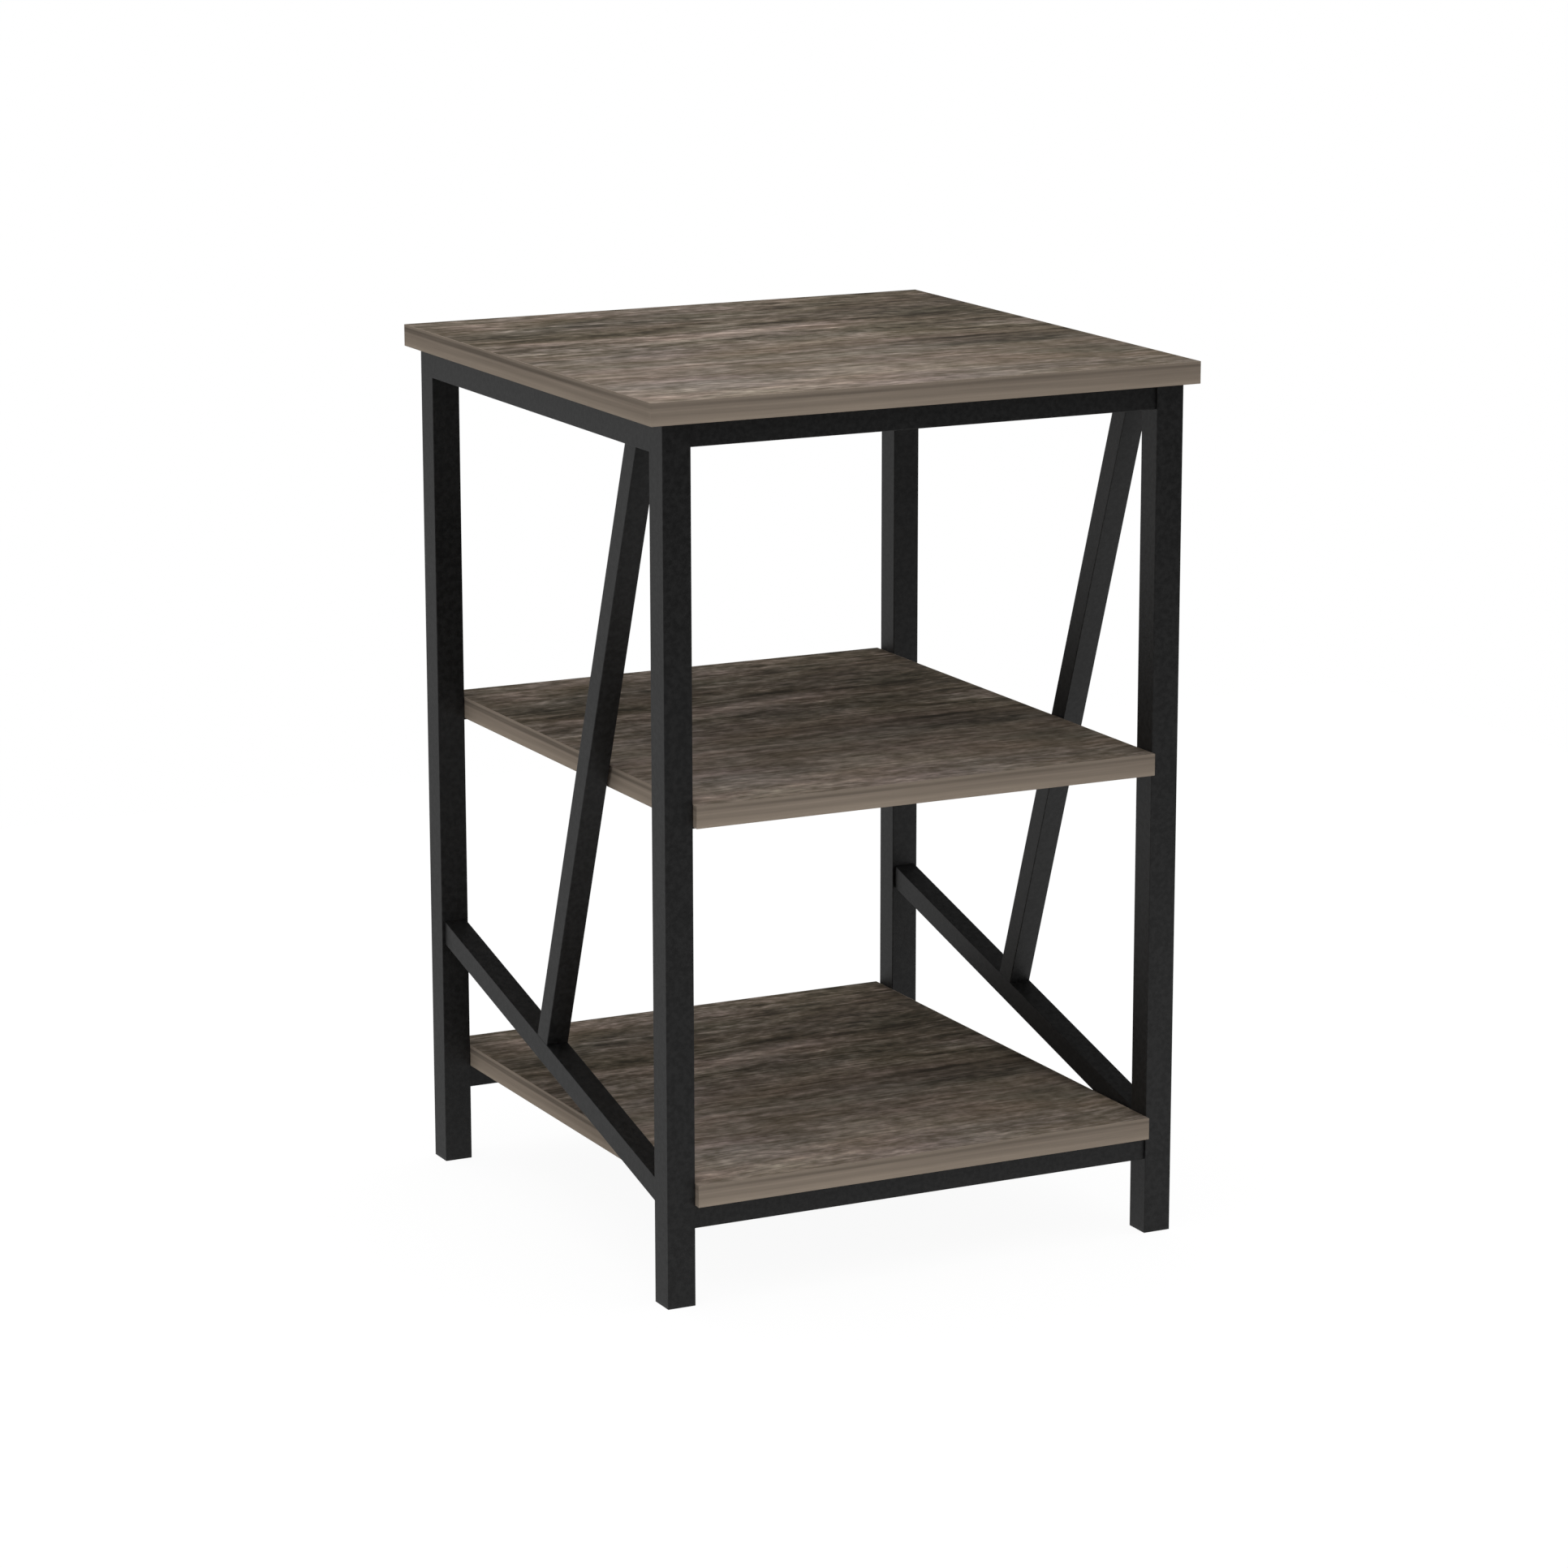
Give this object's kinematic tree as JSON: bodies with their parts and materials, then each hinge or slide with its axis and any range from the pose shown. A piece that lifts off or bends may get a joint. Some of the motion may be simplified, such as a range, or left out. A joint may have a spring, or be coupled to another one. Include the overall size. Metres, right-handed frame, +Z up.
{
  "type": "end table with shelf",
  "caption": "Square end table with a wood-print top over open shelves, in a black square-tube steel frame with slanted braces on both sides.",
  "frame": {"origin": "on the floor, under the centre of the table", "axes": "+X to the right, the front with the low end of the braces faces -Y, +Z up"},
  "size_m": [0.401, 0.401, 0.6],
  "materials": {
    "wood_print": "matt grey-brown wood print",
    "edge_band": "matt grey-brown wood-print strip",
    "black_powder_coat": "fine matt black powder coat",
    "black_plastic": "matt black",
    "zinc_steel": "bright zinc plate"
  },
  "bodies": {
    "root": {"top_panel": "wood_print", "middle_shelf": "wood_print", "bottom_shelf": "wood_print", "top_panel_edge_bands": "edge_band", "middle_shelf_edge_bands": "edge_band", "bottom_shelf_edge_bands": "edge_band", "left_top_rail": "black_powder_coat", "left_lower_brace": "black_powder_coat", "left_upper_brace": "black_powder_coat", "front_left_leg": "black_powder_coat", "front_left_shelf_tab": "black_powder_coat", "rear_left_leg": "black_powder_coat", "rear_left_shelf_tab": "black_powder_coat", "right_top_rail": "black_powder_coat", "right_lower_brace": "black_powder_coat", "right_upper_brace": "black_powder_coat", "front_right_leg": "black_powder_coat", "front_right_shelf_tab": "black_powder_coat", "rear_right_leg": "black_powder_coat", "rear_right_shelf_tab": "black_powder_coat", "front_top_rail": "black_powder_coat", "front_bottom_rail": "black_powder_coat", "rear_top_rail": "black_powder_coat", "rear_bottom_rail": "black_powder_coat", "front_top_rail_end_plates": "black_powder_coat", "front_bottom_rail_end_plates": "black_powder_coat", "rear_top_rail_end_plates": "black_powder_coat", "rear_bottom_rail_end_plates": "black_powder_coat", "front_left_foot_cap": "black_plastic", "rear_left_foot_cap": "black_plastic", "front_right_foot_cap": "black_plastic", "rear_right_foot_cap": "black_plastic", "top_panel_screws": "zinc_steel", "middle_shelf_screws": "zinc_steel", "bottom_shelf_screws": "zinc_steel", "rail_bolts": "zinc_steel", "rivet_nuts": "zinc_steel"}
  },
  "joints": []
}
